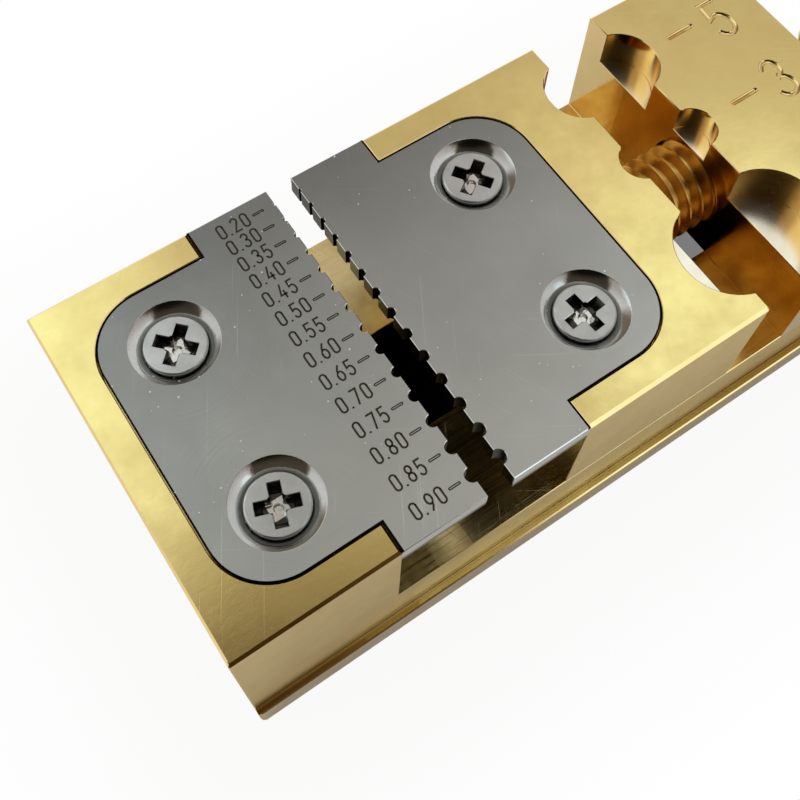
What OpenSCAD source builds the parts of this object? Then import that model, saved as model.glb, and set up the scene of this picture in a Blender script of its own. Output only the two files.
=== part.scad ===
// Watchmakers bench vise: a one-piece brass bed with a fixed jaw block and a nut block,
// a brass jaw block that slides between them on a guide key, two hardened steel jaw plates
// with graduated half-round notches, and a lead screw turned by a knurled knob.
// Millimetres. X runs along the vise towards the knob, Y across it, Z up from the bench.

/* [Bed] */
// Width of the jaw blocks across the vise
block_w = 23; // [22:0.5:26]
// Height of the jaw tops above the bench
total_h = 16.7; // [16.5:0.1:20]
// Height of the slideway above the bench
way_h = 7.4; // [6.8:0.1:7.6]
// Length of the fixed jaw block
fixed_l = 10.35; // [9:0.05:14]
// Clear length of the slideway between the fixed block and the nut block
way_l = 30.7; // [27:0.1:36]
// Length of the nut block
nut_l = 10.5; // [8:0.1:14]
// How far the foot ledge stands out on each long side
ledge_out = 0.55; // [0.3:0.05:3]
// Height of the foot ledge
ledge_h = 2.8; // [1.5:0.1:5]
// Width and depth of the relief cut along the ledge's inner corner
relief = 0.18; // [0.1:0.02:0.25]

/* [Moving block] */
// Length of the moving jaw block
moving_l = 13.3; // [12.8:0.1:15]
// Opening between the two steel jaw edges as the vise stands
jaw_gap = 1.75; // [0.5:0.05:4]

/* [Jaw plates] */
// Thickness of the steel plates
plate_t = 1.4; // [1:0.1:1.8]
// Brass wall beside each plate
plate_wall = 1.95; // [1.2:0.05:3]
// Radius of the plates' inner corners
plate_r = 3.7; // [1:0.1:5]
// Brass left behind the fixed plate
fixed_back = 2.05; // [1.5:0.05:3]
// Brass left behind the moving plate
moving_back = 4.65; // [4:0.05:5.5]
// How far the fixed plate overhangs its block
fixed_tab = 5.5; // [4:0.1:7]
// How far the moving plate overhangs its block
moving_tab = 5.25; // [4:0.05:7]
// Clearance around a plate in its pocket
plate_fit = 0.07; // [0.02:0.01:0.12]
// Diameter of the smallest notch
notch_first = 0.2; // [0.2:0.05:0.3]
// Diameter of the second notch, from which the row climbs evenly
notch_second = 0.3; // [0.3:0.05:0.35]
// Step between the notches after the second
notch_step = 0.05; // [0.03:0.01:0.06]
// Number of notches
notch_n = 14; // [10:1:15]

/* [Plate screws] */
// Distance between the two screws of a plate
screw_pitch = 11.2; // [9:0.1:12]
// Distance of the fixed plate's screws from the bed's end
fixed_screw_in = 6.35; // [5.5:0.05:6.8]
// Distance of the moving plate's screws from the moving block's jaw side
moving_screw_in = 4.3; // [3.6:0.1:4.6]
// Thread diameter of the small screws
screw_d = 2; // [1.6:0.1:2.2]
// Head diameter of the small screws
head_d = 3.75; // [3.2:0.05:4]
// Top diameter of the plates' countersinks
sink_d = 5.3; // [4.8:0.1:5.5]
// Depth of the heads' tops below the plates' tops
head_down = 0.35; // [0.1:0.05:0.5]
// Length of the plate screws from the head's top to the tip
screw_l = 5; // [4:0.1:6]

/* [Round pockets] */
// Diameters of the pockets that hold round work
pocket_d = [7, 3, 5];
// Their places across the vise, from the centre line
pocket_y = [-6.9, 0.75, 7.25];
// Their depths
pocket_h = [2.85, 1.9, 2.7];
// How far their centres lie outside the moving block
moving_pocket_out = [1.1, 0.6, 0.9];
// How far their centres lie outside the nut block
nut_pocket_out = [0.55, 0.1, 0.7];

/* [Guide] */
// Width of the slot that the guide key runs in
slot_w = 7.3; // [7:0.1:9]
// Left end of the slot, from the bed's left end
slot_from = 13; // [12:0.5:14.5]
// How far the slot runs on under the nut block
slot_past = 4.95; // [4.5:0.05:5.5]
// Width of the keeper's recess in the underside
recess_w = 12.4; // [12:0.1:16]
// Height of the keeper's recess
recess_h = 3.4; // [3:0.1:3.8]
// Corner radius of the recess
recess_r = 1.5; // [0.8:0.1:1.5]
// Running clearance of the slideway and key
slide_fit = 0.03; // [0.02:0.01:0.05]
// Thickness of the keeper plate
keeper_t = 2; // [1.5:0.1:2.2]
// Diameter of the dowels and retaining pins
pin_d = 1.5; // [1.2:0.1:1.6]

/* [Lead screw] */
// Height of the lead screw's axis below the jaw tops
axis_down = 5.2; // [5.1:0.02:5.3]
// Outer diameter of the thread
thread_d = 6; // [5.6:0.1:6.2]
// Pitch of the thread
pitch = 1; // [0.8:0.05:1.25]
// Running clearance around the turning screw, on the radius
turn_fit = 0.05; // [0.02:0.01:0.08]
// Diameter of the plain nose and of the shank
nose_d = 4; // [3.6:0.1:4.2]
// Depth of the nose's bore in the moving block
nose_bore = 8.3; // [7.5:0.1:8.4]
// Diameter left in the nose's groove
groove_d = 2.6; // [2.2:0.1:2.8]

/* [Knob] */
// Diameter of the knurled barrel
knob_d = 12; // [10:0.5:16]
// Length of the barrel
barrel_l = 7.3; // [6.8:0.1:12]
// Diameter of the hub
hub_d = 7.6; // [7:0.1:9]
// Length of the hub
hub_l = 2.6; // [2.4:0.1:4]
// Number of knurl grooves
knurl_n = 40; // [20:4:48]

/* [Hidden] */
$fn = 64;

// How far cutters reach past the faces they open
over = 1;
// Clearance of a small screw's thread and head in its hole
screw_fit = 0.02;
// Clearance of a dowel or pin in its hole
pin_fit = 0.01;
// Room left past the end of a screw or dowel in a blind hole
end_room = 0.1;
// How far the shapes that make up one solid lap over each other
lap = 0.01;
hair_lap = 0.001;

// Places along the vise, from the bed's left end
nut_x = fixed_l + way_l;
bed_l = nut_x + nut_l;
fixed_edge = fixed_l + fixed_tab;
moving_x = fixed_edge + jaw_gap + moving_tab;
moving_r = moving_x + moving_l;
axis_z = total_h - axis_down;

// The slot is cut this far past the slideway, to break through it
slot_break = 0.05;

// Nose, thread and knob of the lead screw
shoulder_gap = 0.3;
pad_l = 1;
nose_x = moving_r - nose_bore + pad_l + slide_fit;
thread_x = moving_r + shoulder_gap;
knob_clear = 1.4;
knob_x = bed_l + jaw_gap + knob_clear;
neck_l = 0.6;
thread_end = knob_x - neck_l;
shank_l = 8.6;
shank_flat = 0.35;
// Radius and length of the chamfered tip of the nose
nose_tip_r = 0.9;
nose_tip_l = 0.5;
// Thread: depth, width of the crests, and how far these stand back from mid-pitch
thread_h = 0.6 * pitch;
crest_w = pitch / 8;
crest_back = 0.1;
knob_l = hub_l + barrel_l;
knob_end_wall = 1.2;
// Knob: chamfers of its hub and barrel, dish in its end, side of the square that cuts a groove
hub_rim = 0.3;
barrel_rim = 0.5;
dish_d = 0.6 * knob_d;
dish_h = 0.5;
knurl_w = 0.4;
// Grub screw: depth below the hub, and its hexagon socket
grub_down = 0.15;
socket_d = 1;
socket_h = 0.8;
overall_l = knob_x + knob_l;
groove_w = pin_d + 2 * turn_fit;
groove_x = moving_r - nose_bore / 2 + 0.1;
pin_y = groove_d / 2 + pin_d / 2 + turn_fit;
pin_top = axis_z + nose_d / 2 - 0.1;

// Guide parts, under the moving block
block_z = way_h + slide_fit;
key_inset = 1;
keeper_inset = 0.65;
keeper_side = 0.15;
keeper_z = recess_h - slide_fit - keeper_t;
key_z = recess_h - slide_fit;
// Brass left between the nose's bore and the screws and dowels under it
under_bore = 0.35;
// Height of the dowels' lower ends above the key's underside
dowel_up = 1.8;
keeper_screw_in = 2.7;
keeper_screw_x = [moving_x + keeper_screw_in, moving_r - keeper_screw_in];
keeper_screw_l = axis_z - nose_d / 2 - under_bore - keeper_z;
keeper_rim = 0.15;
dowel_apart = 3.1;
dowel_mid = moving_x + moving_l / 2;
dowel_x = [dowel_mid - dowel_apart / 2, dowel_mid + dowel_apart / 2];
dowel_z = [key_z + dowel_up, axis_z - nose_d / 2 - under_bore];

// Notches: equal lands between them and at both ends
notch_d = [for (i = [0:notch_n - 1]) i == 0 ? notch_first : notch_second + notch_step * (i - 1)];
function sum_to(v, n) = n <= 0 ? 0 : v[n - 1] + sum_to(v, n - 1);
land = (block_w - sum_to(notch_d, notch_n)) / (notch_n + 1);
function notch_y(i) = block_w / 2 - land * (i + 1) - sum_to(notch_d, i) - notch_d[i] / 2;

// Heads of the plate screws rest where the countersink is as wide as they are, and rise from
// there as a straight rim
rim_h = (sink_d - head_d) / 2 - screw_fit - head_down;
cone_h = (head_d - screw_d) / 2;
// Cross recess: length over the arms at the top and at the bottom, arm width, depth, and how
// each plate screw happens to stand
cross_l = 2.55;
cross_end = 1.7;
cross_w = 0.62;
cross_h = 0.75;
cross_turn = [70, 44, 5, 35];

brass = "#cfae4f";
steel = "#8d9094";
bright = "#c2c4c6";

// Moves the drawing from the bed's left end to the middle of the whole vise
module placed() {
    translate([-overall_l / 2, 0, 0]) children();
}

// A block centred across the vise
module bar(x, l, w, z, h) {
    translate([x, -w / 2, z]) cube([l, w, h]);
}

// Turns a shape drawn up along Z so that it lies along +X on the lead screw's axis
module on_axis(x) {
    translate([x, 0, axis_z]) rotate([0, 90, 0]) children();
}

// Upright round bar
module post(x, y, z, d, h) {
    translate([x, y, z]) cylinder(d = d, h = h);
}

// Plate body seen from above: its straight side is at x = 0, its two round corners at x = -l
module plate_body(l, w, r) {
    translate([-l + r, -w / 2]) square([l - r, w]);
    translate([-l, -w / 2 + r]) square([r + lap, w - 2 * r]);
    for (side = [-1, 1]) translate([-l + r, side * (w / 2 - r)]) circle(r = r);
}

// Steel jaw plate lying with its jaw edge at x = 0 and its body at -x
module jaw_plate(body_l, tab_l, screw_back) {
    difference() {
        linear_extrude(plate_t) union() {
            translate([-tab_l, 0]) plate_body(body_l, block_w - 2 * plate_wall, plate_r);
            translate([-tab_l, -block_w / 2]) square([tab_l, block_w]);
        }
        for (i = [0:notch_n - 1])
            translate([0, notch_y(i), -over])
                cylinder(d = notch_d[i], h = plate_t + 2 * over, $fn = 32);
        for (side = [-1, 1])
            translate([-screw_back, side * screw_pitch / 2, plate_t]) countersink(plate_t);
    }
}

// Pocket that a plate lies in, cut down from z = 0
module plate_pocket(body_l) {
    w = block_w - 2 * plate_wall + 2 * plate_fit;
    translate([0, 0, -plate_t]) linear_extrude(plate_t + over) union() {
        plate_body(body_l + plate_fit, w, plate_r + plate_fit);
        translate([-lap, -w / 2]) square([over, w]);
    }
}

// Cone cut down from z = 0, with the screw's hole below it
module countersink(depth) {
    translate([0, 0, -sink_d / 2]) cylinder(d1 = 0, d2 = sink_d, h = sink_d / 2);
    cylinder(d = sink_d, h = over);
    translate([0, 0, -depth - over]) cylinder(d = screw_d + 2 * screw_fit, h = depth + over);
}

// Tapped hole for a plate screw, cut down from the block's top
module plate_screw_hole() {
    translate([0, 0, -sink_d / 2]) cylinder(d1 = 0, d2 = sink_d, h = sink_d / 2);
    translate([0, 0, -head_down - screw_l - 3 * end_room])
        cylinder(d = screw_d + 2 * screw_fit, h = screw_l + 3 * end_room);
}

// Cross recess cut down from z = 0, its arms running in towards the bottom
module cross_recess(turn) {
    intersection() {
        union() for (a = [0, 90])
            rotate(turn + a) translate([-cross_l / 2, -cross_w / 2, -cross_h])
                cube([cross_l, cross_w, over]);
        translate([0, 0, -cross_h]) cylinder(d1 = cross_end, d2 = cross_l, h = cross_h + lap);
    }
    translate([0, 0, -cross_h]) cylinder(d1 = cross_w, d2 = 2 * cross_w, h = cross_h + lap);
}

// Countersunk screw with its head's top at z = 0 and a straight rim of height rim above the cone
module flat_screw(l, turn, rim) {
    difference() {
        union() {
            translate([0, 0, -rim]) cylinder(d = head_d, h = rim);
            translate([0, 0, -rim - cone_h]) cylinder(d1 = screw_d, d2 = head_d, h = cone_h + hair_lap);
            translate([0, 0, -l]) cylinder(d = screw_d, h = l - rim - cone_h + lap);
        }
        cross_recess(turn);
    }
}

// Part-round pockets along an edge at x = 0, in a block that lies on the dir side of it
module round_pockets(dir, out) {
    for (i = [0:2])
        translate([-dir * out[i], pocket_y[i], total_h - pocket_h[i]])
            cylinder(d = pocket_d[i], h = pocket_h[i] + over);
}

// Rounded slot seen from above
module slot_cut(from, to, w, z, h) {
    bar(from + w / 2, to - from - w, w, z, h);
    for (x = [from + w / 2, to - w / 2]) post(x, 0, z, w, h);
}

// Recess with small round corners
module recess_cut() {
    to = nut_x + slot_past;
    bar(slot_from + recess_r, to - slot_from - 2 * recess_r, recess_w, -over, recess_h + over);
    bar(slot_from, to - slot_from, recess_w - 2 * recess_r, -over, recess_h + over);
    for (x = [slot_from + recess_r, to - recess_r], side = [-1, 1])
        post(x, side * (recess_w / 2 - recess_r), -over, 2 * recess_r, recess_h + over);
}

module bed() {
    color(brass) placed() difference() {
        union() {
            bar(0, bed_l, block_w, 0, way_h);
            bar(0, bed_l, block_w + 2 * ledge_out, 0, ledge_h);
            bar(0, fixed_l, block_w, 0, total_h);
            bar(nut_x, nut_l, block_w, 0, total_h);
        }
        for (side = [-1, 1])
            translate([-over, side * (block_w / 2 + relief / 2) - relief / 2, ledge_h - relief])
                cube([bed_l + 2 * over, relief, relief + lap]);
        translate([fixed_l, 0, total_h]) plate_pocket(fixed_l - fixed_back);
        for (side = [-1, 1])
            translate([fixed_screw_in, side * screw_pitch / 2, total_h]) plate_screw_hole();
        slot_cut(slot_from, nut_x + slot_past, slot_w, -over, way_h + over + slot_break);
        recess_cut();
        on_axis(nut_x - over) cylinder(d = thread_d + 2 * turn_fit, h = nut_l + 2 * over);
        translate([nut_x, 0, 0]) round_pockets(1, nut_pocket_out);
    }
}

module fixed_jaw_plate() {
    color(steel) placed() translate([fixed_edge, 0, total_h - plate_t])
        jaw_plate(fixed_l - fixed_back, fixed_tab, fixed_edge - fixed_screw_in);
}

module moving_jaw_plate() {
    color(steel) placed() translate([moving_x - moving_tab, 0, total_h - plate_t]) mirror([1, 0, 0])
        jaw_plate(moving_l - moving_back, moving_tab, moving_tab + moving_screw_in);
}

// Hole drilled up into the moving block from below, as far as top
module drilled_up(x, y, d, top) {
    post(x, y, way_h - over, d, top - way_h + over);
}

module moving_block() {
    color(brass) placed() difference() {
        bar(moving_x, moving_l, block_w, block_z, total_h - block_z);
        translate([moving_x, 0, total_h]) mirror([1, 0, 0]) plate_pocket(moving_l - moving_back);
        for (side = [-1, 1])
            translate([moving_x + moving_screw_in, side * screw_pitch / 2, total_h]) plate_screw_hole();
        translate([moving_r, 0, 0]) round_pockets(-1, moving_pocket_out);
        on_axis(moving_r - nose_bore) cylinder(d = nose_d + 2 * slide_fit, h = nose_bore + over);
        for (side = [-1, 1])
            drilled_up(groove_x, side * pin_y, pin_d + 2 * pin_fit, pin_top + pin_fit);
        for (x = keeper_screw_x)
            drilled_up(x, 0, screw_d + 2 * screw_fit, keeper_z + keeper_screw_l + end_room);
        for (x = dowel_x) drilled_up(x, 0, pin_d + 2 * pin_fit, dowel_z[1] + end_room);
    }
}

module plate_screw(x, side, turn) {
    color(bright) placed() translate([x, side * screw_pitch / 2, total_h - head_down])
        flat_screw(screw_l, turn, rim_h);
}

module fixed_plate_screw_near() {
    plate_screw(fixed_screw_in, -1, cross_turn[0]);
}

module fixed_plate_screw_far() {
    plate_screw(fixed_screw_in, 1, cross_turn[1]);
}

module moving_plate_screw_near() {
    plate_screw(moving_x + moving_screw_in, -1, cross_turn[2]);
}

module moving_plate_screw_far() {
    plate_screw(moving_x + moving_screw_in, 1, cross_turn[3]);
}

module guide_key() {
    color(steel) placed() difference() {
        bar(
            moving_x + key_inset, moving_l - 2 * key_inset,
            slot_w - 2 * slide_fit, key_z, block_z - key_z
        );
        for (x = keeper_screw_x) post(x, 0, key_z - over, screw_d + 2 * screw_fit, way_h + 2 * over);
        for (x = dowel_x) post(x, 0, dowel_z[0] - end_room, pin_d + 2 * pin_fit, way_h);
    }
}

module key_dowel(x) {
    color(bright) placed() post(x, 0, dowel_z[0], pin_d, dowel_z[1] - dowel_z[0]);
}

module key_dowel_left() {
    key_dowel(dowel_x[0]);
}

module key_dowel_right() {
    key_dowel(dowel_x[1]);
}

module keeper_plate() {
    color(steel) placed() difference() {
        bar(
            moving_x + keeper_inset, moving_l - 2 * keeper_inset,
            recess_w - 2 * keeper_side, keeper_z, keeper_t
        );
        for (x = keeper_screw_x) {
            post(x, 0, keeper_z - over, screw_d + 2 * screw_fit, keeper_t + 2 * over);
            translate([x, 0, keeper_z + keeper_rim])
                cylinder(d1 = head_d + 2 * screw_fit, d2 = 0, h = head_d / 2 + screw_fit);
            post(x, 0, keeper_z - over, head_d + 2 * screw_fit, over + keeper_rim + hair_lap);
        }
    }
}

module keeper_screw(x) {
    color(bright) placed() translate([x, 0, keeper_z + screw_fit]) rotate([180, 0, 0])
        flat_screw(keeper_screw_l - screw_fit, 0, keeper_rim);
}

module keeper_screw_left() {
    keeper_screw(keeper_screw_x[0]);
}

module keeper_screw_right() {
    keeper_screw(keeper_screw_x[1]);
}

module retaining_pin(side) {
    color(bright) placed() post(groove_x, side * pin_y, block_z, pin_d, pin_top - block_z);
}

module retaining_pin_near() {
    retaining_pin(-1);
}

module retaining_pin_far() {
    retaining_pin(1);
}

module thrust_pad() {
    color(bright) placed() on_axis(moving_r - nose_bore) cylinder(d = nose_d + slide_fit, h = pad_l);
}

// Half outline of the thread, as [radius, distance along the axis] points
function thread_points(l) =
    let (
        n = floor(l / pitch),
        r = thread_d / 2,
        mid = pitch / 2 - crest_back,
        ring = [[r - thread_h, 0], [r, mid - crest_w / 2], [r, mid + crest_w / 2]]
    )
    [for (i = [0:n - 1], p = ring) [p[0], i * pitch + p[1]]];

module lead_screw() {
    root_r = thread_d / 2 - thread_h;
    thread_l = thread_end - thread_x;
    groove_from = groove_x - groove_w / 2 - nose_x;
    groove_to = groove_from + groove_w;
    nose_l = thread_x - nose_x + lap;
    color(brass) placed() difference() {
        union() {
            on_axis(nose_x) rotate_extrude() polygon([
                [0, 0], [nose_tip_r, 0], [nose_d / 2, nose_tip_l],
                [nose_d / 2, groove_from], [groove_d / 2, groove_from],
                [groove_d / 2, groove_to], [nose_d / 2, groove_to],
                [nose_d / 2, nose_l], [0, nose_l]
            ]);
            on_axis(thread_x) rotate_extrude() polygon(concat(
                [[0, 0]], thread_points(thread_l), [[root_r, thread_l], [0, thread_l]]
            ));
            on_axis(thread_end - lap) cylinder(d = nose_d, h = neck_l + shank_l + lap);
        }
        translate([knob_x, -nose_d, axis_z + nose_d / 2 - shank_flat])
            cube([shank_l + over, 2 * nose_d, over]);
    }
}

module knob() {
    color(brass) placed() difference() {
        on_axis(knob_x) rotate_extrude() polygon([
            [0, 0], [hub_d / 2 - hub_rim, 0], [hub_d / 2, hub_rim], [hub_d / 2, hub_l],
            [knob_d / 2 - barrel_rim, hub_l], [knob_d / 2, hub_l + barrel_rim],
            [knob_d / 2, knob_l - barrel_rim], [knob_d / 2 - barrel_rim, knob_l],
            [dish_d / 2, knob_l], [dish_d / 2 - dish_h, knob_l - dish_h], [0, knob_l - dish_h]
        ]);
        on_axis(knob_x - over) cylinder(d = nose_d + 2 * screw_fit, h = knob_l - knob_end_wall + over);
        for (i = [0:knurl_n - 1])
            translate([knob_x + hub_l - over, 0, axis_z]) rotate([360 * i / knurl_n, 0, 0])
                translate([0, 0, knob_d / 2]) rotate([45, 0, 0])
                    translate([0, -knurl_w / 2, -knurl_w / 2])
                        cube([barrel_l + 2 * over, knurl_w, knurl_w]);
        post(knob_x + hub_l / 2, 0, axis_z, screw_d + 2 * screw_fit, hub_d);
    }
}

module knob_grub_screw() {
    from = nose_d / 2 - shank_flat + screw_fit;
    length = hub_d / 2 - grub_down - from;
    color(bright) placed() translate([knob_x + hub_l / 2, 0, axis_z + from]) difference() {
        cylinder(d = screw_d, h = length);
        translate([0, 0, length - socket_h]) cylinder(d = socket_d, h = over, $fn = 6);
    }
}

bed();
fixed_jaw_plate();
fixed_plate_screw_near();
fixed_plate_screw_far();
moving_block();
moving_jaw_plate();
moving_plate_screw_near();
moving_plate_screw_far();
guide_key();
key_dowel_left();
key_dowel_right();
keeper_plate();
keeper_screw_left();
keeper_screw_right();
retaining_pin_near();
retaining_pin_far();
thrust_pad();
lead_screw();
knob();
knob_grub_screw();
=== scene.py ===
"""Dresses a small watchmakers bench vise around its packed construction.

The frame holds every metal part at its real size. This script gives the parts their chamfered edges, their
graduations and engraved numbers, the helix of the lead screw and their surfaces, and sets up the studio and
the camera. Blender's lengths are metres; values named _mm are millimetres, as on a drawing.
"""

import logging
import math
from collections.abc import Iterable
from dataclasses import dataclass, field, replace
from enum import Enum

import bmesh
import bpy
from bpy.types import Collection, Material, Node, NodeTree, Object, bpy_prop_collection
from bpy.types import NodeSocket as Socket
from mathutils import Matrix, Vector


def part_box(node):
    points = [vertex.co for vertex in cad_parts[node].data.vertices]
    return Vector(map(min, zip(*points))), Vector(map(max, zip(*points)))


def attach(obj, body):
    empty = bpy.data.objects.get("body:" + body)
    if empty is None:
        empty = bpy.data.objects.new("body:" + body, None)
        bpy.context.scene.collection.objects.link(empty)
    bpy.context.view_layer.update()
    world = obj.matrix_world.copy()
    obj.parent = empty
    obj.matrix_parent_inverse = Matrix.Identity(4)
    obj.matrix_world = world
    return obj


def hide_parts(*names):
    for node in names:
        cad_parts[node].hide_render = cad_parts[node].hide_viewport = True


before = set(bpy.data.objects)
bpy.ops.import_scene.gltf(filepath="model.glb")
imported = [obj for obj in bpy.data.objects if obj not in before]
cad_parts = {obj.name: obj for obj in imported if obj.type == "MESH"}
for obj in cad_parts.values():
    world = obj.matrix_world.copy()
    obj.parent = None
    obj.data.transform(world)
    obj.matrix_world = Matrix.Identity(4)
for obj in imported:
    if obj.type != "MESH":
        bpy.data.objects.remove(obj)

LOG = logging.getLogger("bench_vise")
MM = 0.001
SMOOTH_DEG = 30
SHARP_DEG = 35

# A pair is a point or a range. A node's input takes an entry: an output to link, or a fixed value.
Colour = tuple[float, float, float, float]
Point = tuple[float, float]
Triple = tuple[float, float, float]
Value = Socket | float
Entry = Value | tuple

# Heights on the vise in millimetres: its tops, the slideway and the foot's ledges.
TOP = (16.6, 16.8)
SLIDEWAY = (7.2, 7.6)
LEDGE = (2.7, 2.9)

# Places of edges: the left end along the vise, and the near edge of the tops across it.
LEFT_END = (-32.4, -32.2)
NEAR_RIM = (-11.6, -11.4)

# Upward parts of a surface's direction, for faces that lie flat, stand upright and slope.
FLAT = (0.98, 1.02)
UPRIGHT = (-0.3, 0.3)
SLOPED = (0.3, 0.97)


class Body(Enum):
    """The bodies that pieces of this script ride on."""

    BED = "bed"
    SPINDLE = "spindle"


class Light(Enum):
    """What a part of the studio's dome does."""

    LAMP = "adds its light"
    FLAG = "keeps light away"


def linear(code: str) -> Colour:
    """Turns the six hex digits of an sRGB colour into the linear colour that shaders take."""
    parts = [int(code[i:i + 2], 16) / 255 for i in (0, 2, 4)]
    bright = [p / 12.92 if p <= 0.04045 else ((p + 0.055) / 1.055) ** 2.4 for p in parts]
    return (bright[0], bright[1], bright[2], 1.0)


WHITE = linear("FFFFFF")


class Tree:
    """A tree of nodes with short ways to write sums, masks and mixes."""

    def __init__(self, tree: NodeTree) -> None:
        """Takes over the tree of a material, a world or a modifier and empties it."""
        self.tree = tree
        self.tree.nodes.clear()

    def add(self, kind: str, sockets: dict | None = None, **settings) -> Node:
        """Adds one node, with its settings, its fixed inputs and the links into it.

        Args:
            kind: Blender's name for the kind of node.
            sockets: Input name or number, to a value or to the output that feeds it.
            settings: Properties of the node itself.

        Returns:
            The new node.
        """
        node = self.tree.nodes.new(kind)
        for name, value in settings.items():
            setattr(node, name, value)
        for name, value in (sockets or {}).items():
            if isinstance(value, Socket):
                self.tree.links.new(value, node.inputs[name])
            else:
                node.inputs[name].default_value = value
        return node

    def maths(self, operation: str, *values: Value) -> Socket:
        """Joins numbers or outputs by one of Blender's maths operations."""
        return self.add("ShaderNodeMath", dict(enumerate(values)), operation=operation).outputs[0]

    def vector(self, operation: str, one: Entry, other: Entry | None = None) -> Socket:
        """Joins two vectors, or changes one, by one of Blender's vector operations."""
        sockets = {0: one}
        if other is not None:
            sockets["Scale" if operation == "SCALE" else 1] = other
        node = self.add("ShaderNodeVectorMath", sockets, operation=operation)
        return node.outputs["Value" if operation in ("DISTANCE", "DOT_PRODUCT", "LENGTH") else 0]

    def ramp(self, value: Value, ends: Point, results: Point = (0.0, 1.0), kind: str = "LINEAR") -> Socket:
        """Carries a value from one range over to another and holds it there."""
        sockets = dict(enumerate((value, *ends, *results)))
        return self.add("ShaderNodeMapRange", sockets, interpolation_type=kind).outputs[0]

    def within(self, ranges: Iterable[tuple[Socket, Point | None]]) -> Value:
        """Returns 1 inside all the ranges, each an output and its bounds or None, and 0 outside."""
        mask: Value = 1.0
        for value, (low, high) in (pair for pair in ranges if pair[1] is not None):
            inside = self.maths("COMPARE", value, (low + high) / 2, (high - low) / 2)
            mask = self.maths("MULTIPLY", mask, inside)
        return mask

    def mix(self, mask: Value, one: Entry, other: Entry, kind: str = "FLOAT") -> Socket:
        """Mixes two values, of kind FLOAT, VECTOR or RGBA."""
        ports = {"FLOAT": (0, 2, 3, 0), "VECTOR": (0, 4, 5, 1), "RGBA": (0, 6, 7, 2)}[kind]
        node = self.add("ShaderNodeMix", {ports[0]: mask, ports[1]: one, ports[2]: other}, data_type=kind)
        return node.outputs[ports[3]]


class Surface(Tree):
    """The tree of one material, with the places in millimetres that its finish is drawn from."""

    def __init__(self, name: str) -> None:
        """Starts a material."""
        self.made = bpy.data.materials.new(name)
        self.made.use_nodes = True
        super().__init__(self.made.node_tree)
        coords = self.add("ShaderNodeTexCoord")
        self.place = self.vector("SCALE", coords.outputs["Object"], 1 / MM)
        self.xyz = self.add("ShaderNodeSeparateXYZ", {0: self.place}).outputs
        self.up = self.add("ShaderNodeSeparateXYZ", {0: coords.outputs["Normal"]}).outputs[2]

    def noise(self, vector: Socket, detail: float = 2.0) -> Socket:
        """Draws a noise pattern at a scale of 1."""
        sockets = {"Vector": vector, "Scale": 1.0, "Detail": detail, "Roughness": 0.6}
        return self.add("ShaderNodeTexNoise", sockets).outputs[0]

    def close(self, shader: Node) -> Material:
        """Ends the tree with a shader and returns the material."""
        self.add("ShaderNodeOutputMaterial", {"Surface": shader.outputs[0]})
        return self.made


@dataclass(frozen=True)
class Where:
    """A box of places, in millimetres of the part's frame, where None has no bounds.

    Attributes:
        x, y, z: Ranges of the place.
        up: Range of the upward part of the surface's direction.
    """

    x: Point | None = None
    y: Point | None = None
    z: Point | None = None
    up: Point | None = None

    def ranges(self, xyz: bpy_prop_collection) -> Iterable[tuple[Socket, Point | None]]:
        """Pairs the outputs of a place with their ranges, as Tree.within takes them."""
        return zip(xyz, (self.x, self.y, self.z))


@dataclass(frozen=True)
class Zone:
    """A part of a piece's skin, and how it was worked.

    Attributes:
        colour: Its colour where it is bright.
        shade: Its colour in the soft patches that handling and tarnish leave.
        roughness: How much it blurs what it mirrors.
        grain_mm: Spacing of the tool's or the stone's marks along X, Y and Z.
        grain_um: Depth of the marks.
        scratch_um: Depth of stray scratches.
        streaks: Share of the shade's colour that lies along the marks.
        painted_far_shade: Share of its brightness that is left on the vise's far side, a painted shade that
            darkens it there.
        where: Where it is.
    """

    colour: str
    shade: str
    roughness: float
    grain_mm: Triple
    grain_um: float
    scratch_um: float = 0.0
    streaks: float = 0.0
    painted_far_shade: float = 1.0
    where: Where = Where()


@dataclass(frozen=True)
class Chatter:
    """Marks of a turning cutter, as arcs round the cutter's middle.

    Attributes:
        centre_mm: The cutter's middle on the part, in X and Y.
        step_mm: Spacing of the marks.
        depth_um: Depth of the marks.
        where: The places that have them.
        apart_mm: Distances in X and Y from there to the middles, where several were cut alike.
    """

    centre_mm: Point
    step_mm: float
    depth_um: float
    where: Where
    apart_mm: Point = (0.0, 0.0)


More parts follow.
